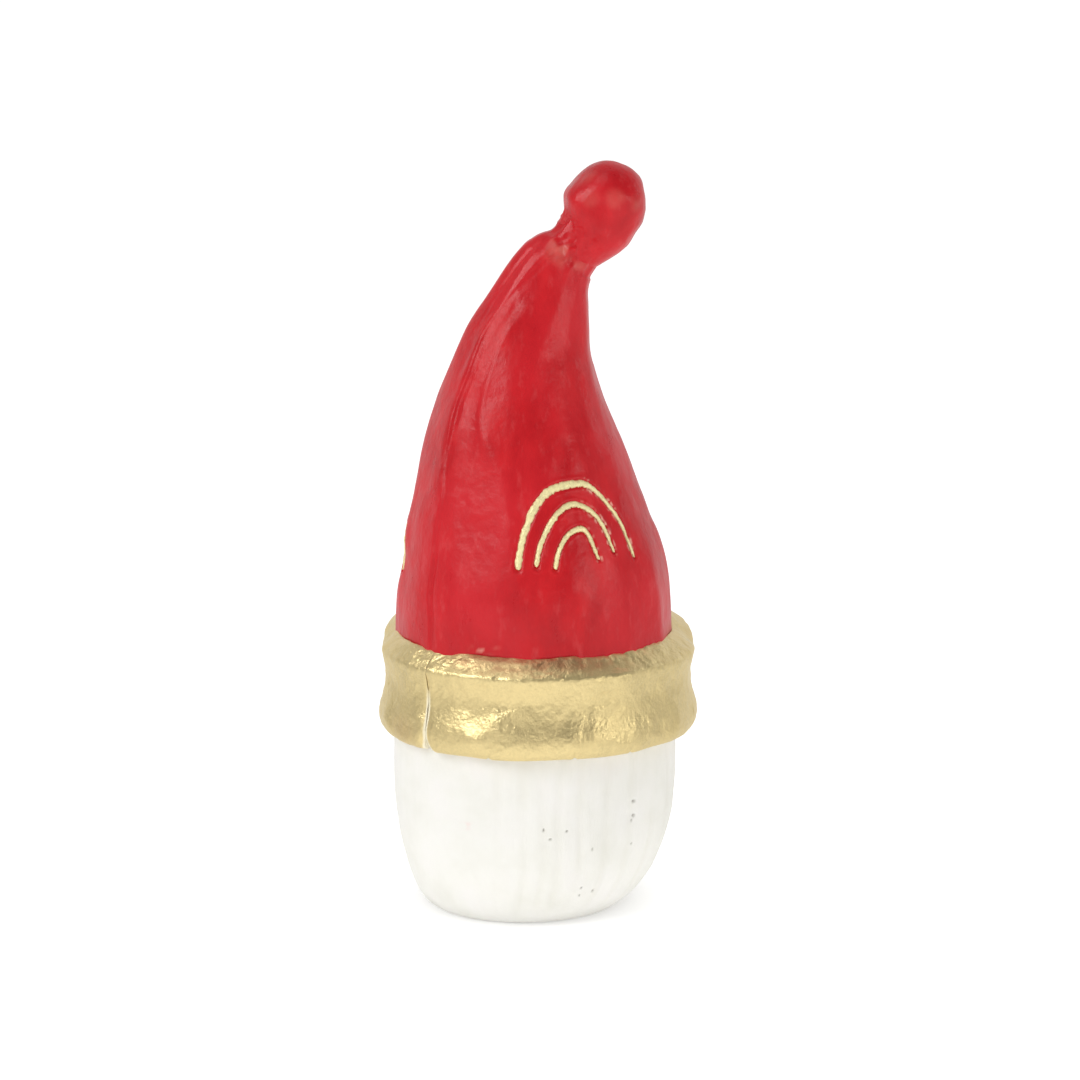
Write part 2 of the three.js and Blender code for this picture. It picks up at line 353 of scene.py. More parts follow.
def red_paint():
    """Red paint, uneven from the brush, which pales where an attribute says so: at gold specks and a pale
    streak on the hat, and at painted highlights and painted sheen on the bobble and in the hat's neck.
    """
    dark_red = (0.45, 0.007, 0.012)
    red = (0.585, 0.008, 0.013)
    bright_red = (0.62, 0.016, 0.025)
    streak_pink = (0.72, 0.13, 0.13)
    pale_mark_and_sheen_pink = (0.88, 0.52, 0.40)
    shader = Shader("red_paint")
    mottle = shader.noise(5, detail=5, scale=(1, 1, 0.5), roughness=0.6)
    patches = shader.noise(16, detail=2)
    base = shader.ramp(mottle, (0.32, dark_red), (0.68, red))
    colour = shader.mix(shader.ramp(patches, (0.42, 0), (0.7, 0.7)), base, bright_red)
    streaks = shader.noise(2.4, detail=4, scale=(1, 1, 0.4), roughness=0.65)
    colour = shader.mix(shader.ramp(streaks, (0.56, 0), (0.74, 0.22)), colour, streak_pink)
    # The pale mix: gold specks, a pale streak, and painted highlights and painted sheen.
    colour = shader.mix(shader.attribute("pale_marks_and_sheen"), colour, pale_mark_and_sheen_pink)
    strokes = shader.bump(shader.noise(1.2, detail=3, scale=(1, 1, 0.2)), 0.04)
    dimples = shader.bump(shader.noise(2.6, detail=3, roughness=0.5), 0.16, strokes)
    return shader.finish(
        Base_Color=colour,
        Roughness=shader.ramp(mottle, (0.3, 0.26), (0.75, 0.4)),
        Specular_IOR_Level=0.28,
        Normal=dimples,
    )


def gold_paint(name, bright, shade, metallic, wrinkle):
    """Gold paint whose flecks go from bright to shade times bright, with wrinkles of a size in millimetres.

    It is brown where an attribute says so, for real stains on the cuff and for painted shade under the hat's
    edge, left of the cuff's joint and along the rainbow lines' edges, and pale clay slip where the "bare"
    one does.
    """
    # Brown for real stains, and for painted shade under the hat's edge, by the cuff's joint and along the
    # rainbow lines' edges.
    stain_and_shade_brown = (0.40, 0.12, 0.06)
    slip = (0.90, 0.83, 0.62)
    shader = Shader(name)
    flecks = shader.noise(0.5, detail=3, roughness=0.6)
    patches = shader.noise(6, detail=3)
    gold = shader.ramp(flecks, (0.3, [shade * tone for tone in bright]), (0.7, bright))
    colour = shader.mix(shader.ramp(patches, (0.35, 0), (0.7, 0.6)), gold, bright)
    colour = shader.mix(shader.attribute("stain_and_shade"), colour, stain_and_shade_brown)
    colour = shader.mix(shader.attribute("bare"), colour, slip)
    wrinkles = shader.bump(shader.noise(0.75, detail=3, roughness=0.6), wrinkle)
    dents = shader.bump(shader.noise(3.2, detail=2), 2.4 * wrinkle, wrinkles)
    return shader.finish(
        Base_Color=colour,
        Metallic=shader.ramp(shader.attribute("bare"), (0, metallic), (0.7, 0)),
        Roughness=shader.ramp(patches, (0.3, 0.3), (0.7, 0.42)),
        Normal=dents,
    )


def white_clay():
    """Matte white clay, with painted shade in the combed flutes and the pits where the "hollow" and "pit"
    attributes say so, and pink by "blush".
    """
    cream, white, cool_white = (0.80, 0.79, 0.73), (0.835, 0.825, 0.775), (0.85, 0.835, 0.80)
    # Painted shade for the combed flutes and the pits.
    flute_shade_grey = (0.70, 0.68, 0.58)
    pit_shade_brown = (0.15, 0.10, 0.07)
    pink = (0.86, 0.55, 0.52)
    shader = Shader("white_clay")
    clouds = shader.noise(9, detail=3)
    colour = shader.ramp(clouds, (0.3, cream), (0.5, white), (0.7, cool_white))
    colour = shader.mix(shader.attribute("hollow"), colour, flute_shade_grey)
    colour = shader.mix(shader.attribute("pit"), colour, pit_shade_brown)
    colour = shader.mix(shader.attribute("blush"), colour, pink)
    strokes = shader.bump(shader.noise(0.9, detail=4, scale=(1, 1, 0.2)), 0.09)
    grain = shader.bump(shader.noise(0.3, detail=3, roughness=0.7), 0.03, strokes)
    return shader.finish(
        Base_Color=colour,
        Roughness=shader.ramp(clouds, (0.3, 0.7), (0.7, 0.85)),
        Normal=grain,
    )


def nose_clay():
    """Smooth flesh-coloured clay, a little uneven."""
    darker, lighter = (0.72, 0.42, 0.30), (0.80, 0.52, 0.40)
    shader = Shader("nose_clay")
    clouds = shader.noise(3, detail=3)
    return shader.finish(
        Base_Color=shader.ramp(clouds, (0.3, darker), (0.7, lighter)),
        Roughness=shader.ramp(clouds, (0.3, 0.42), (0.7, 0.6)),
        Normal=shader.bump(shader.noise(0.6, detail=3), 0.04),
    )


RED = red_paint()
GOLD = gold_paint("gold_paint", bright=(0.90, 0.72, 0.35), shade=0.86, metallic=0.75, wrinkle=0.17)
LINE_GOLD = gold_paint("gold_line_paint", bright=(1, 0.89, 0.46), shade=0.74, metallic=0.18, wrinkle=0.28)
WHITE = white_clay()
NOSE = nose_clay()

# ---- The hat ----

HAT_LAST = len(HAT_STATIONS) - 1
# The azimuths of the ridges between the hat's hand-patted flats.
RIDGES = np.array([22, 60, 98, 140, 181, 190, 222, 246, 270, 295, 320, 352])
# How deep the flats are, as a share of the hat's radius.
FLAT_DEPTH = 1.05 / 27
# How far the hat's back stands out below the neck, in the looks only.
HUNCH = 1.3
# The part of the hat that has a rainbow's grooves: degrees to each side of the rainbow's middle, and
# millimetres up and down from a height above its foot.
RAINBOW_HALF_TURN = 42
RAINBOW_MIDDLE = 7
RAINBOW_HALF_HEIGHT = 11


def hat_section(share):
    """The hat's middle, its radius, and its across direction, tilted with it, at shares from rim to tip."""
    t = np.asarray(share) * HAT_LAST
    station = spline(HAT_STATIONS, t)
    before = spline(HAT_STATIONS, np.maximum(t - 0.01, 0))
    slope = spline(HAT_STATIONS, np.minimum(t + 0.01, HAT_LAST)) - before
    steep = slope[..., :2] / np.linalg.norm(slope[..., :2], axis=-1, keepdims=True)
    middle = station[..., :1] * LEAN + station[..., 1:2] * UP
    across = steep[..., 1:] * LEAN - steep[..., :1] * UP
    return middle, station[..., 2], across


def hat_surface(azimuth, share, reach=0, radius=None):
    """Points of the plain hat at azimuths and shares, pushed out by reach from its radius or a given one."""
    middle, hat_radius, across = hat_section(share)
    out = direction(azimuth)
    distance = ((hat_radius if radius is None else radius) + reach)[..., None]
    return middle + distance * ((out @ LEAN)[..., None] * across + (out @ ASIDE)[..., None] * ASIDE)


def arc_distance(azimuth, share, height, name, motif):
    """How far points of the hat are from a rainbow line, and the line's half width there."""
    path, widths = rainbow_path(name, motif)
    _, radius, _ = hat_section(share)
    sideways = np.radians(turn_between(azimuth, RAINBOW_AZIMUTHS[motif])) * radius
    place = np.stack([sideways, height - RAINBOW_FEET[motif]], axis=-1)
    gaps = np.linalg.norm(place[..., None, :] - path, axis=-1)
    nearest = gaps.argmin(axis=-1)
    return gaps.min(axis=-1), widths[nearest]


def rainbow_path(name, motif):
    """A rainbow line's points on the unrolled hat, with the unsteadiness of a hand, and its half widths."""
    points, half_widths = RAINBOW_LINES[name]
    seed = list(RAINBOW_AZIMUTHS).index(motif)
    t = np.linspace(0, len(points) - 1, 120)
    share = np.linspace(0, len(half_widths) - 1, len(t))
    widths = np.interp(share, range(len(half_widths)), half_widths)
    drawn = smoothed(np.column_stack([spline(points, t), widths]), 5)
    along = np.stack([t, t * 0 + seed * 3.1, t * 0], axis=-1)
    wobble = np.stack([lumps(along, 1, 3), lumps(along, 1, 4)], axis=-1)
    return drawn[:, :2] + 0.1 * wobble, drawn[:, 2] * (1 + 0.14 * lumps(along * 2, 1, 5))


def seam_azimuth(share):
    """The seam's azimuth: it wavers, and turns towards the gnome's right below the neck."""
    return SEAM_AZIMUTH + 20 * step(share, 0.62, 0.86) + 1.1 * np.sin(24 * share) + 0.5 * np.sin(61 * share)


def facets(azimuth, share):
    """How far the flats lie under the hat's round: 0 on a ridge and -1 in the middle of a 40 degree flat."""
    twisted = step(share, 0.36, 0.5) * (1 - step(share, 0.62, 0.78))
    behind = step(azimuth, 188, 206) * (1 - 0.5 * step(azimuth, 212, 236)) * (1 - step(azimuth, 266, 300))
    by_seam = step(azimuth, 100, 150) * (1 - step(azimuth, 165, 185)) * step(share, 0.45, 0.6)
    wander = azimuth + 5 * np.sin(share * 9 + np.radians(azimuth))
    wander = wander + 20 * twisted * behind - 12 * by_seam
    fine = np.arange(0, 360, 1.0)
    edges = np.append(RIDGES, RIDGES[0] + 360)
    at = (fine - RIDGES[0]) % 360 + RIDGES[0]
    left = np.searchsorted(edges, at, side="right") - 1
    width = edges[left + 1] - edges[left]
    part = (at - edges[left]) / width
    flat = -4 * part * (1 - part) * (width / 40) ** 2
    kernel = np.exp(-((np.arange(-9, 10) / 3.2) ** 2))
    soft = np.convolve(np.concatenate([flat[-9:], flat, flat[:9]]), kernel / kernel.sum(), "valid")
    return np.interp(wander % 360, np.append(fine, 360), np.append(soft, soft[0]))


def seam_relief(azimuth, share, points, radius):
    """How far the overlapped seam, and a tool's mark beside it, stand off the hat."""
    past_seam = turn_between(azimuth, seam_azimuth(share)) * np.radians(1) * radius
    fade = step(share, 0, 0.1) * (1 - step(share, 0.84, 0.9))
    overlap = (1 - step(past_seam, -0.35, 0.35)) * (1 - step(-past_seam, 4, 20))
    seam = 0.42 * overlap - 0.2 * bump(past_seam - 0.7, 1.1)
    seam = seam * fade * (0.8 + 0.5 * lumps(points, 9, 7)) * (1 - 0.5 * step(share, 0.55, 0.7))
    mark = bump(past_seam + 3.2, 0.8) * step(share, 0.6, 0.66) * (1 - step(share, 0.8, 0.86))
    return seam - 0.1 * mark


def hat_relief(azimuth, share, points):
    """How far the hat's real surface stands off its plain one, in millimetres."""
    _, radius, _ = hat_section(share)
    relief = FLAT_DEPTH * radius * facets(azimuth, share)
    relief = relief + 0.30 * lumps(points, 11, 1) + 0.09 * lumps(points, 4, 2)
    relief = relief + 0.05 * lumps(points, (2.5, 2.5, 14), 6)
    relief = relief + seam_relief(azimuth, share, points, radius)
    crumples = 0.8 * lumps(points, 1.3, 8) + 0.6 * lumps(points, 2.6, 9)
    relief = relief + neck_crumple(azimuth, share) * crumples
    hunched = step(share, 0.5, 0.7) * (1 - step(share, 0.81, 0.89)) * bump(turn_between(azimuth, 140), 85)
    relief = relief + HUNCH * hunched
    pitted = bump(turn_between(azimuth, 201), 13) * bump(points[..., 2] - 85, 7)
    return relief + 0.10 * pitted * lumps(points, 1.3, 10)


def neck_crumple(azimuth, share):
    """How crumpled the hat is where the bobble is pressed on it, from 0 to 1."""
    return bump(share - 0.88, 0.08) * bump(turn_between(azimuth, 222), 68)


def groove_relief(azimuth, share, points):
    """How far the rainbows' pressed grooves stand off the hat, and where gold is spattered beside them."""
    relief = np.zeros(azimuth.shape)
    specks = np.zeros(azimuth.shape)
    height = points[..., 2]
    for motif, name in itertools.product(RAINBOW_AZIMUTHS, RAINBOW_LINES):
        near = np.abs(turn_between(azimuth, RAINBOW_AZIMUTHS[motif])) < RAINBOW_HALF_TURN
        near &= np.abs(height - RAINBOW_FEET[motif] - RAINBOW_MIDDLE) < RAINBOW_HALF_HEIGHT
        gap, width = arc_distance(azimuth[near], share[near], height[near], name, motif)
        groove = -GROOVE_DEPTH * bump(gap, width + 0.3)
        burr = bump(gap - width - 0.4, 0.4) * (0.06 + 0.12 * lumps(points[near], 1.1, 11))
        relief[near] += groove + burr
        rough_side = step(turn_between(azimuth[near], RAINBOW_AZIMUTHS[motif]), 2, 12)
        spatter = bump(gap - width - 0.2, 0.45) * step(lumps(points[near], 0.6, 18), 0, 0.5)
        spatter = spatter * step(lumps(points[near], 2.2, 19), -0.2, 0.3)
        specks[near] = np.maximum(specks[near], 0.8 * rough_side * spatter)
    return relief, specks


def hat_azimuths():
    """The azimuths of the hat's columns of faces, closest by the rainbows and the seam."""

    def spacing(azimuth):
        nearest = np.min([np.abs(turn_between(azimuth, a)) for a in RAINBOW_AZIMUTHS.values()], axis=0)
        by_seam = np.abs(turn_between(azimuth, SEAM_AZIMUTH + 8)) < 16
        return np.where(nearest < 34, 0.55, np.where(by_seam, 0.7, 1.5))

    return graded(0, 360, spacing)[:-1]


def hat_shares():
    """The shares of the hat's rings of faces, closest by the rainbows and in the neck."""
    rainbows_from = min(RAINBOW_FEET.values()) - 3.5
    rainbows_to = max(RAINBOW_FEET.values()) + 18

    def spacing(share):
        height = spline(HAT_STATIONS, share * HAT_LAST)[:, 1]
        in_rainbow = (height > rainbows_from) & (height < rainbows_to)
        in_neck = np.abs(share - 0.895) < 0.09
        under_cuff = height < 53
        fine = np.where(in_rainbow, 0.25, np.where(in_neck, 0.3, 0.7))
        climb = np.maximum(np.gradient(height, share), 40)
        return np.where(under_cuff, 3.0, fine) / climb

    return graded(0, 1, spacing)


def hat_pale_marks_and_sheen(azimuth, share, points, specks):
    """How pale the hat's paint is: gold specks by the rainbows, a pale streak over the cuff, and painted
    sheen on the neck's crumples.
    """
    # A pale streak just above the cuff.
    pale_streak = bump(points[..., 2] - 57.3, 1) * bump(turn_between(azimuth, 210), 9)
    pale_streak = pale_streak * step(lumps(points, (1.5, 1.5, 0.6), 17), -0.2, 0.6)
    # Painted sheen, where the neck's crumples catch the light.
    neck_sheen = neck_crumple(azimuth, share) * step(lumps(points, 1.7, 44), -0.3, 0.5)
    return np.maximum(np.maximum(specks, 0.5 * pale_streak), 0.2 * neck_sheen)


def make_hat():
    """A slab of clay rolled into a leaning cone, hollow from its rim to half way up."""
    around = hat_azimuths()
    azimuth, share = np.meshgrid(around, hat_shares())
    plain = hat_surface(azimuth, share)
    grooves, specks = groove_relief(azimuth, share, plain)
    outside = hat_surface(azimuth, share, hat_relief(azimuth, share, plain) + grooves)
    inner_azimuth, inner_share = np.meshgrid(around, np.linspace(HAT_HOLLOW_TOP / HAT_LAST, 0, 12))
    _, radius, _ = hat_section(inner_share)
    bore = np.minimum(SPIGOT_RADIUS + GAP, radius - HAT_WALL)
    inside = hat_surface(inner_azimuth, inner_share, 0, bore)
    loops = np.concatenate([inside, outside])
    # The hat's pale marks, with painted sheen in the neck.
    pale_marks_and_sheen = hat_pale_marks_and_sheen(azimuth, share, plain, specks)
    attributes = {"pale_marks_and_sheen": np.concatenate([np.zeros(inside.shape[:2]), pale_marks_and_sheen])}
    return lofted("hat_cone_clay", loops, RED, "hat_cone", attributes)


def make_line(motif, name):
    """A gold line: a film of paint that lies in its groove and runs a little over the edges."""
    path, widths = rainbow_path(name, motif)
    tangent = np.gradient(path, axis=0)
    tangent /= np.linalg.norm(tangent, axis=1, keepdims=True)
    sideways = np.stack([tangent[:, 1], -tangent[:, 0]], axis=1)
    across = np.linspace(-1, 1, 9)
    count = len(path)
    taper = np.minimum(1, 0.55 + np.minimum(np.arange(count), np.arange(count)[::-1]) / 3)
    ragged = np.stack([np.arange(count) * 0.45, np.zeros(count), np.zeros(count)], axis=1)
    seed = 20 + 3 * list(RAINBOW_AZIMUTHS).index(motif) + list(RAINBOW_LINES).index(name)
    hat_length = 105
    left = widths * taper * (1 + 0.26 * lumps(ragged * 1.6, 1, seed))
    right = widths * taper * (1 + 0.36 * lumps(ragged * 1.9, 1, seed + 40))
    reach = np.where(across < 0, left[:, None], right[:, None]) * across
    flat = path[:, None] + sideways[:, None] * reach[..., None]

    def lifted(depth):
        """The line's points, lifted off the hat. Their shares are found from their heights by steps."""
        height = flat[..., 1] + RAINBOW_FEET[motif]
        share = np.full(height.shape, 0.3)
        turned = np.zeros(height.shape)
        for _ in range(4):
            _, radius, _ = hat_section(share)
            turned = RAINBOW_AZIMUTHS[motif] + np.degrees(flat[..., 0] / radius)
            now = hat_surface(turned, share)[..., 2]
            share = share + (height - now) / hat_length
        plain = hat_surface(turned, share)
        return hat_surface(turned, share, hat_relief(turned, share, plain) + depth)

    grain = lumps(lifted(0), 0.7, 12)
    top = lifted(0.12 + 0.12 * grain - 0.34 * across**2)
    under = lifted(-0.45)[:, 1:-1][:, ::-1]
    loops = np.concatenate([top, under], axis=1)
    # Painted shade, brown along the line's edges where it dips into its groove; its hidden under side is
    # brown too.
    stain_and_shade = np.zeros(loops.shape[:2])
    stain_and_shade[:, : len(across)] = 0.6 * step(np.abs(across), 0.45, 1)
    stain_and_shade[:, len(across) :] = 0.5
    attributes = {"stain_and_shade": stain_and_shade}
    node = f"rainbow_{motif}_{name}"
    return lofted(f"gold_{motif}_{name}", loops, LINE_GOLD, node, attributes)


# ---- The bobble ----

# How far the bobble's surface is from its middle, at angles from the way down into the neck: on its upper
# side, where the clay is folded in, and on its under side, where it is drawn out over the hat.
BOBBLE_OVER = [(20, 14), (25, 12), (30, 10.4), (38, 8.8), (45, 8.15), (60, 8.05), (180, 8.05)]
BOBBLE_UNDER = [(20, 14), (28, 12.4), (35, 11.4), (45, 10.4), (57, 9.4), (75, 8.5), (90, 8.05), (180, 8.05)]
# How near the middle the flats are cut on a ball of radius 1: the scattered ones, and the large one on top.
FLAT_CUT = 0.94
LARGE_FLAT_CUT = 0.89
# How much larger the patted ball is made, to make up for its flats.
BALL_GROWTH = 1.085
# Painted highlights on the bobble, pale patches that stand for its gloss: azimuth, elevation, how many
# degrees it reaches, how pale it is.
BOBBLE_HIGHLIGHTS = [
    (211, 14, 17, 0.11),
    (243, 14, 20, 0.11),
    (190, 48, 22, 0.06),
    (276, 6, 16, 0.08),
    (60, 20, 24, 0.08),
]


def rounded_table(value, table):
    """A table of (value, result) read at values, with its corners rounded."""
    fine = np.arange(0, 181, 1.0)
    rounded = smoothed(np.stack([fine, np.interp(fine, *zip(*table))], axis=1), 5)
    return np.interp(value, rounded[:, 0], rounded[:, 1])


def patted_ball(ways):
    """How far a ball of radius 1 reaches along unit ways, when it has been patted flat here and there."""
    scattered = np.random.default_rng(11).normal(size=(13, 3))
    flats = np.vstack([scattered, 0.75 * direction(140.0) + 0.66 * UP])
    flats /= np.linalg.norm(flats, axis=1, keepdims=True)
    cuts = np.append(np.full(len(scattered), FLAT_CUT), LARGE_FLAT_CUT)
    cut_at = cuts / np.maximum(ways @ flats.T, 0.2)
    every = np.concatenate([cut_at, np.ones(cut_at.shape[:2] + (1,))], axis=-1)
    softness = 17
    return -np.log(np.exp(-softness * every).sum(axis=-1)) / softness


def bobble_highlights(ways, points):
    """How pale the bobble's painted highlights make its paint, from 0 to 1."""
    paled = np.zeros(points.shape[:2])
    for azimuth, elevation, patch_reach, strength in BOBBLE_HIGHLIGHTS:
        off = np.degrees(np.arccos(np.clip(ways @ toward(azimuth, elevation), -1, 1)))
        paled = np.maximum(paled, strength * bump(off, patch_reach))
    return paled * (0.75 + 0.5 * lumps(points, 1.6, 43))


def make_bobble():
    """A hand-rolled ball with flats on it, drawn out into a neck where it is pressed on the hat's tip."""
    middle = BOBBLE_LEAN * LEAN + BOBBLE_HEIGHT * UP
    neck_root = hat_section(np.float64(0.915))[0]
    axis = (middle - neck_root) / np.linalg.norm(middle - neck_root)
    under = LEAN - (LEAN @ axis) * axis
    under /= np.linalg.norm(under)
    polar = np.radians(np.arange(3.0, 160.5, 1.8))
    angle, polar_grid = np.meshgrid(np.radians(np.arange(0, 360, 3.0)), polar)
    ways = (
        np.cos(polar_grid)[..., None] * axis
        + (np.sin(polar_grid) * np.cos(angle))[..., None] * under
        + (np.sin(polar_grid) * np.sin(angle))[..., None] * np.cross(axis, under)
    )
    from_neck = 180 - np.degrees(polar_grid)
    over_reach = rounded_table(from_neck, BOBBLE_OVER)
    under_reach = rounded_table(from_neck, BOBBLE_UNDER)
    reach = over_reach + (under_reach - over_reach) * step(np.cos(angle), -0.7, 0.7)
    ball = step(from_neck, 40, 75)
    reach = reach * (1 + (BALL_GROWTH * patted_ball(ways) - 1) * ball)
    points = middle + reach[..., None] * ways
    relief = 0.12 * lumps(points, 4, 13) + 0.11 * lumps(points, (2.8, 2.8, 1.9), 42)
    relief = relief + 0.03 * lumps(points, 1.1, 14)
    crumpled = (1 - step(from_neck, 40, 56)) * (1 - step(np.cos(angle), 0.3, 0.8))
    relief = relief + crumpled * (0.65 * lumps(points, 1.9, 15) + 0.4 * lumps(points, 0.9, 16))
    points = points + relief[..., None] * ways
    # The bobble's pale patches are painted highlights.
    attributes = {"pale_marks_and_sheen": bobble_highlights(ways, points)}
    return lofted("hat_bobble_clay", points, RED, "hat_bobble", attributes)


# ---- The cuff ----

# The cuff's outer face, from its lower edge to where it meets the hat, and its inner one back down again:
# radius and height.
CUFF_OUTSIDE = [
    (29.4, 36.7),
    (30.7, 36.4),
    (31.5, 37.1),
    (31.9, 39),
    (31.7, 41.3),
    (31, 44.3),
    (30.7, 47.3),
    (31.1, 50.2),
    (31.4, 52),
    (31.25, 52.8),
    (30.7, 53.4),
    (29.6, 54.4),
    (28.3, 55.5),
    (27.5, 56),
]
CUFF_INSIDE = [(27, 55.4), (28, 50), (28.5, 43), (28.7, 37.6)]
# Its dents and swellings: azimuth, height, half width in degrees, half height, how far out they stand.
CUFF_DENTS = [
    (231, 40.5, 16, 4.5, 0.16),
    (230, 49.5, 24, 5, -0.2),
    (207, 48.5, 20, 5, -0.45),
    (254, 40, 26, 4.5, 0.3),
    (208, 40.5, 18, 4.5, 0.35),
]
# The azimuths of the nicks in its lower edge.
CUFF_NICKS = (212, 243.5, 266, 40, 97, 312)
# How much higher its upper edge is on its far side, in the looks only.
CUFF_RISE = 2.6


def far_side(azimuth):
    """0 on the camera's side of the gnome and 1 on its far side."""
    return step(-np.cos(np.radians(azimuth - CAMERA_AZIMUTH)), 0, 0.4)


def cuff_relief(azimuth, height, from_joint, points):
    """How far the cuff's real surface stands off its plain one, in millimetres."""
    smoothed_by_thumb = bump(turn_between(azimuth, 230), 14)
    rough = 1 - 0.75 * smoothed_by_thumb
    relief = 0.4 * lumps(points, 9, 30) + 0.2 * rough * lumps(points, 3.6, 31)
    relief = relief + 0.08 * rough * lumps(points, 1.3, 32) + 0.035 * lumps(points, 0.7, 33)
    relief = relief + 0.12 * lumps(points, 1.7, 39) * step(height, 50, 52.5)
    for middle, level, half_width, half_height, depth in CUFF_DENTS:
        dent = bump(turn_between(azimuth, middle), half_width) * bump(height - level, half_height)
        relief = relief + depth * dent
    from_crease = height - 47.5 - 0.16 * turn_between(azimuth, 251)
    relief = relief - 0.32 * bump(from_crease, 1.8) * bump(turn_between(azimuth, 254), 15)
    rounded = 0.6 * bump(from_joint, 3.2) * bump(height - 36, 10)
    relief = relief - (rounded + 0.18 * bump(from_joint, 1.8)) * (1 - step(height, 50, 53))
    return relief + 0.4 * far_side(azimuth) * step(height, 47, 51) * (1 - step(height, 53, 55))


def cuff_lift(azimuth, height, points):
    """How far the cuff's ragged upper edge and nicked lower edge are raised, in millimetres."""
    level_points = points * (1, 1, 0)
    ragged = 0.08 + 0.3 * bump(turn_between(azimuth, 262), 34)
    rise = 0.1 + 0.3 * lumps(level_points, 6, 34) + ragged * lumps(level_points, 1.2, 35)
    nicks = sum(bump(turn_between(azimuth, middle), 1.1) for middle in CUFF_NICKS)
    dip = 0.35 * lumps(level_points, 7, 36) + 0.3 * nicks
    lift = step(height, 53.6, 56) * rise + (1 - step(height, 37, 40)) * dip
    return lift + CUFF_RISE * far_side(azimuth) * step(height, 45, 53)


def cuff_marks(azimuth, height, from_joint, points):
    """Where the cuff's gold is browned, by stains and by painted shade, and where it is bare slip, each from
    0 to 1.
    """
    near_hat = 1 - step(np.abs(height - 55.3), 0.5, 2)
    # Stains by the hat's edge; round 215 degrees this is painted shade too, where the hat's edge shades the
    # cuff.
    stain_and_hat_shade = bump(turn_between(azimuth, 244), 22) + 0.6 * bump(turn_between(azimuth, 60), 18)
    stain_and_hat_shade = stain_and_hat_shade + 1.2 * bump(turn_between(azimuth, 215), 26)
    patchy = 0.3 + 0.45 * step(lumps(points, (2.5, 2.5, 0.9), 37), -0.5, 0.4)
    # Painted shade low on the left of the joint, where the cuff turns away from the light.
    shade_left_of_joint = bump(turn_between(azimuth, 172), 13) * bump(height - 39, 5)
    stain_and_shade = np.maximum(near_hat * np.clip(stain_and_hat_shade, 0, 1) * patchy, 0.14 * shade_left_of_joint)
    bare = np.clip(1.6 * bump(from_joint, 1.3), 0, 1) * (1 - step(height, 45, 50))
    bare = bare * step(lumps(points, (2, 2, 0.8), 38), -0.9, -0.3)
    return stain_and_shade, bare


def make_cuff():
    """A strip of clay wrapped round the hat's foot, dented by fingers, its two ends meeting at the back."""
    profile = spline(CUFF_OUTSIDE, np.linspace(0, len(CUFF_OUTSIDE) - 1, 74))
    section = np.vstack([profile, CUFF_INSIDE])
    turn = np.linspace(0, 360, 560)
    from_joint = np.minimum(turn, 360 - turn)[:, None]
    azimuth, radius = np.meshgrid(turn + CUFF_JOINT_AZIMUTH, section[:, 0], indexing="ij")
    height = np.broadcast_to(section[:, 1], azimuth.shape)
    half_joint = 0.01 + 0.03 * (1 - step(height, 43, 48)) + 1.7 * (1 - step(height, 36.3, 40)) ** 2
    azimuth = azimuth + half_joint * (1 - turn[:, None] / 180)
    out = direction(azimuth)
    plain = out * radius[..., None] + height[..., None] * UP
    outside = np.where(np.arange(len(section)) < len(profile), 1.0, 0.0)
    relief = outside * cuff_relief(azimuth, height, from_joint, plain)
    lift = outside * cuff_lift(azimuth, height, plain)
    shift = CUFF_OFFSET * outside * (1 - 0.85 * step(height, 52.5, 56))
    points = plain + relief[..., None] * out + lift[..., None] * UP + shift[..., None] * LEAN
    stain_and_shade, bare = cuff_marks(azimuth, height, from_joint, plain)
    attributes = {"stain_and_shade": stain_and_shade * outside, "bare": bare}
    return lofted("hat_cuff_clay", points, GOLD, "hat_cuff", attributes)


# ---- The body ----

# The half width of a combed flute in millimetres, and how deep it is.
FLUTE_HALF_WIDTH = 1.5
FLUTE_DEPTH = 0.3
# Millimetres along the body's side to a degree round it.
SIDE_PER_DEGREE = 0.48
PIT_DEPTH = 0.5
CHIP_DEPTH = 0.6
# The radius of the spigot's mouth, and the height that the body's hollow starts at.
MOUTH_RADIUS = 18.9
HOLLOW_FLOOR = 6
# The azimuths of the flutes that the photo shows.
FLUTES = [215, 226, 234, 241, 249.5, 261, 273, 287]
# The pits' azimuths, heights, and half widths and half heights.
PITS = [
    (274.3, 25.5, 0.5, 0.3),
    (274.7, 22.5, 0.45, 0.34),
    (273.7, 21.6, 0.25, 0.25),
    (260.5, 7.3, 0.36, 0.36),
    (253.2, 8.6, 0.25, 0.18),
    (253.6, 6.8, 0.2, 0.2),
    (243.2, 21.3, 0.25, 0.25),
    (233.8, 21.7, 0.23, 0.32),
    (236.5, 19.8, 0.25, 0.17),
    (254.8, 17, 0.22, 0.26),
    (275.2, 16.6, 0.22, 0.25),
    (312, 15, 0.35, 0.3),
    (38, 24, 0.3, 0.35),
    (51, 13, 0.3, 0.3),
    (95, 28, 0.34, 0.3),
    (127, 9, 0.3, 0.3),
]


def flute_azimuths():
    """The combed grooves' azimuths: the seen ones, then on round the front at uneven steps."""
    rng = np.random.default_rng(5)
    azimuths = list(FLUTES)
    while azimuths[-1] < 360 + BEARD_HALF_ANGLE - 12:
        azimuths.append(azimuths[-1] + rng.uniform(9, 14))
    return azimuths


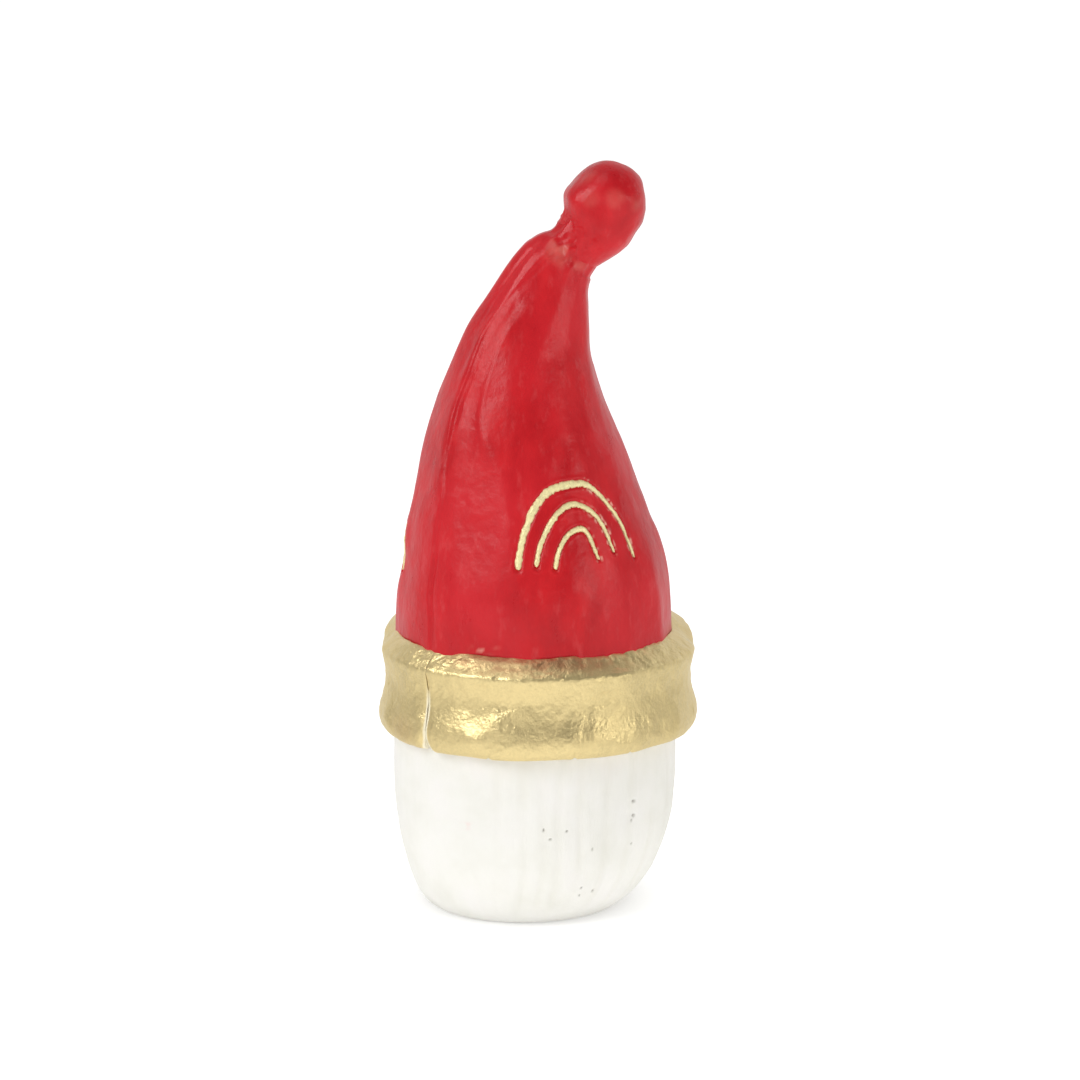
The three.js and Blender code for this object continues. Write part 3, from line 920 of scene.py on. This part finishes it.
def body_relief(azimuth, points):
    """How far the body's real surface stands off its plain one, how deep it is in a flute, and in a pit."""
    height = points[..., 2]
    relief = 0.28 * lumps(points, 12, 50) + 0.10 * lumps(points, 4, 51) + 0.035 * lumps(points, 1.4, 52)
    relief = relief + 0.05 * lumps(points, (1.6, 1.6, 9), 53)
    flute = np.zeros(azimuth.shape)
    for number, middle in enumerate(flute_azimuths()):
        wander = 1.1 * lumps(np.stack([height / 9, height * 0 + number, height * 0], axis=-1), 1, 54)
        gap = np.abs(turn_between(azimuth, middle + wander)) * SIDE_PER_DEGREE
        along = np.stack([height / 7, height * 0 + 3.3 * number, height * 0], axis=-1)
        strength = 0.55 + 0.45 * lumps(along, 1, 55)
        flute = np.maximum(flute, bump(gap, FLUTE_HALF_WIDTH) * strength)
    flute = flute * step(height, 1, 7)
    relief = relief - FLUTE_DEPTH * flute
    pit = np.zeros(azimuth.shape)
    for middle, level, half_width, half_height in PITS:
        sideways = np.radians(turn_between(azimuth, middle)) * BODY_RADIUS
        gap = np.hypot(sideways / half_width, (height - level) / half_height)
        pit = np.maximum(pit, bump(gap, 1.15))
    chip = bump(turn_between(azimuth, 168), 9) * bump(height - 1.2, 2)
    return relief - PIT_DEPTH * pit - CHIP_DEPTH * chip, flute, pit


def make_body():
    """A thick-walled pinch pot with a narrow foot, a vent under it and a spigot on its shoulder."""
    outline = [
        (FOOT_RADIUS, 0),
        (19.8, 0.6),
        (22.2, 3),
        (24.5, 7),
        (26.3, 12),
        (27.6, 17.5),
        (28.2, 23),
        (28.4, 29),
        (28.3, SHOULDER_HEIGHT),
    ]
    side = spline(outline, np.linspace(0, len(outline) - 1, 150))
    foot = [(1, 0), (9, 0), (15.5, 0)]
    top = [(SPIGOT_RADIUS, SHOULDER_HEIGHT), (SPIGOT_RADIUS - GAP, SPIGOT_TOP), (MOUTH_RADIUS, SPIGOT_TOP)]
    hollow = [(MOUTH_RADIUS, SHOULDER_HEIGHT), (21.4, 26), (20, 15), (15, 8), (1, HOLLOW_FLOOR)]
    profile = np.vstack([foot, side, top, hollow])

    def spacing(azimuth):
        pitted = np.abs(turn_between(azimuth, 254)) < 26
        return np.where(pitted, 0.5, 0.95)

    around = graded(0, 360, spacing)[:-1]
    azimuth, radius = np.meshgrid(around, profile[:, 0])
    height = np.repeat(profile[:, 1][:, None], len(around), axis=1)
    out = direction(azimuth)
    plain = out * radius[..., None] + height[..., None] * UP
    relief, flute, pit = body_relief(azimuth, plain)
    skin = np.zeros(azimuth.shape)
    side_skin = step(side[:, 1], 0, 1) * (1 - step(side[:, 1], SHOULDER_HEIGHT - 1, SHOULDER_HEIGHT))
    skin[len(foot) : len(foot) + len(side)] = side_skin[:, None]
    points = plain + (relief * skin)[..., None] * out
    low = np.clip(1 - height / FOOT_SHIFT_HEIGHT, 0, 1) ** 2
    points = points - (FOOT_SHIFT * low)[..., None] * LEAN
    blush = bump(turn_between(azimuth, 201.5), 4.5) * bump(height - 21.6, 1.1)
    blush = 0.45 * blush * step(lumps(plain, 1.2, 56), -0.4, 0.4)
    # Painted shade in the flutes and pits, and a pink smear.
    attributes = {"hollow": 0.2 * flute * skin, "pit": 0.62 * pit * skin, "blush": blush * skin}
    body = lofted("beard_body_clay", points, WHITE, "beard_body", attributes)
    cut_vent(body)
    return body


def cut_vent(body):
    """Cuts the kiln vent through the floor of the body."""
    bpy.ops.mesh.primitive_cylinder_add(
        vertices=48, radius=VENT_RADIUS * MM, depth=24 * MM, location=(0, VENT_BACK * MM, 0)
    )
    drill = bpy.context.object
    cutter = body.modifiers.new("vent", "BOOLEAN")
    cutter.operation = "DIFFERENCE"
    cutter.solver = "EXACT"
    cutter.object = drill
    bpy.context.view_layer.update()
    evaluated = body.evaluated_get(bpy.context.evaluated_depsgraph_get())
    mesh = bpy.data.meshes.new_from_object(evaluated)
    body.modifiers.remove(cutter)
    body.data = mesh
    bpy.data.objects.remove(drill)


# ---- The nose ----


def make_nose():
    """A small ball of bare clay, a little wider than it is tall."""
    polar = np.radians(np.arange(2, 179, 4.0))
    angle, polar_grid = np.meshgrid(np.radians(np.arange(0, 360, 4.0)), polar)
    ways = np.stack(
        [np.sin(polar_grid) * np.cos(angle), np.sin(polar_grid) * np.sin(angle), np.cos(polar_grid)], axis=-1
    )
    middle = np.array([0, -NOSE_REACH, NOSE_HEIGHT])
    points = middle + NOSE_RADIUS * ways * (1.0, 1.0, 0.96)
    points = points + (0.16 * lumps(points, 4, 60) + 0.05 * lumps(points, 1.5, 61))[..., None] * ways
    return lofted("nose_clay_ball", points, NOSE, "nose")


# ---- The studio ----

FLOOR_SIZE = 20
LIGHT_DISTANCE = 0.9
PLAIN_WHITE = (1, 1, 1)
# The lights: degrees round from the camera, elevation, width and height in metres, watts, and colour.
LIGHTS = {
    "key": (-48, 34, (0.26, 0.46), 2.35, PLAIN_WHITE),
    "fill": (58, 13, (0.34, 0.3), 0.8, (1, 0.98, 0.92)),
    "panel": (62, 13, (0.8, 0.34), 0.45, PLAIN_WHITE),
    "side": (-78, 36, (0.26, 0.35), 2, PLAIN_WHITE),
    "edge": (112, 22, (0.06, 0.45), 0.3, PLAIN_WHITE),
    "overhead": (-60, 78, (0.5, 0.5), 1, PLAIN_WHITE),
}
# The lights that are seen in the gnome's gloss and don't light it otherwise.
GLOSS_ONLY = ("panel", "side")


def make_floor():
    """A plain pale floor that glows, less right round the foot as a painted contact shadow. Out there it
    keeps the room's light.
    """
    shader = Shader("floor")
    from_foot = shader.add("ShaderNodeVectorMath", {0: shader.place()}, operation="LENGTH").outputs["Value"]
    shader.finish(
        Base_Color=(0.8, 0.8, 0.8, 1),
        Roughness=0.9,
        Specular_IOR_Level=0.1,
        Emission_Color=(1, 1, 1, 1),
        # The glow is weaker round the foot, a painted contact shadow.
        Emission_Strength=shader.ranged(from_foot, (19, 34), (0.26, 0.67)),
    )
    bpy.ops.mesh.primitive_plane_add(size=FLOOR_SIZE, location=-FOOT_SHIFT * MM * LEAN)
    floor = bpy.context.object
    floor.name = "floor"
    floor.visible_glossy = False
    floor.data.materials.append(shader.material)


def make_light(name, turn, elevation, size, power, colour):
    """A soft box that faces the gnome's middle, so many degrees round from the camera."""
    way = Vector(toward(CAMERA_AZIMUTH + turn, elevation))
    data = bpy.data.lights.new(name, "AREA")
    data.shape = "RECTANGLE"
    data.size, data.size_y = size
    data.energy = power
    data.color = colour
    lamp = bpy.data.objects.new(name, data)
    bpy.context.scene.collection.objects.link(lamp)
    lamp.location = way * LIGHT_DISTANCE + Vector((0, 0, MIDDLE_HEIGHT))
    lamp.rotation_euler = way.to_track_quat("Z", "Y").to_euler()
    lamp.visible_camera = False
    lamp.visible_diffuse = name not in GLOSS_ONLY


def make_world():
    """A white studio, whose gloss shows a dark room that is pale behind the gnome and glows low down.

    The camera sees white, gloss sees the room, and every other ray sees plain grey.
    """
    world = bpy.data.worlds.new("studio")
    bpy.context.scene.world = world
    world.use_nodes = True
    tree = Nodes(world.node_tree)
    tree.nodes.clear()
    way = tree.add("ShaderNodeTexCoord").outputs["Generated"]
    behind = direction(np.float64(CAMERA_AZIMUTH - 184))
    facing = tree.add("ShaderNodeVectorMath", {0: way, 1: behind}, operation="DOT_PRODUCT").outputs["Value"]
    walls = tree.ramp(
        tree.ranged(facing, (-1, 1), (0, 1)), (0.6, (0.06, 0.06, 0.065)), (0.9, (0.82, 0.82, 0.82))
    )
    height = tree.add("ShaderNodeSeparateXYZ", {0: way}).outputs["Z"]
    low = tree.ranged(height, (-0.45, 0.4), (1.2, 0))
    nearer = tree.ranged(facing, (-1, 0.2), (1, 0.6))
    glow = tree.add("ShaderNodeMath", {0: low, 1: nearer}, operation="MULTIPLY").outputs[0]
    room = tree.add("ShaderNodeVectorMath", {0: walls, 1: glow}, operation="MAXIMUM").outputs[0]
    ray = tree.add("ShaderNodeLightPath")
    paper = tree.ranged(ray.outputs["Is Camera Ray"], (0, 1), (0.5, 1))
    both = tree.add(
        "ShaderNodeMixShader",
        {
            0: ray.outputs["Is Glossy Ray"],
            1: tree.add("ShaderNodeBackground", {"Color": paper}).outputs[0],
            2: tree.add("ShaderNodeBackground", {"Color": room}).outputs[0],
        },
    )
    tree.add("ShaderNodeOutputWorld", {"Surface": both.outputs[0]})


def make_camera():
    """The camera at the photo's viewing angle."""
    data = bpy.data.cameras.new("camera")
    data.lens = CAMERA_LENS
    camera = bpy.data.objects.new("camera", data)
    bpy.context.scene.collection.objects.link(camera)
    to_the_right = Vector(direction(np.float64(CAMERA_AZIMUTH + 90)))
    aim = Vector((0, 0, AIM_HEIGHT)) + to_the_right * AIM_ASIDE
    way = Vector(toward(CAMERA_AZIMUTH, CAMERA_ELEVATION))
    camera.location = Vector((0, 0, MIDDLE_HEIGHT)) + way * CAMERA_DISTANCE
    camera.rotation_euler = (camera.location - aim).to_track_quat("Z", "Y").to_euler()
    bpy.context.scene.camera = camera


make_camera()
make_hat()
for motif, name in itertools.product(RAINBOW_AZIMUTHS, RAINBOW_LINES):
    make_line(motif, name)
make_bobble()
make_cuff()
make_body()
make_nose()
make_floor()
make_world()
for name, settings in LIGHTS.items():
    make_light(name, *settings)

bpy.context.scene.view_settings.view_transform = "Standard"
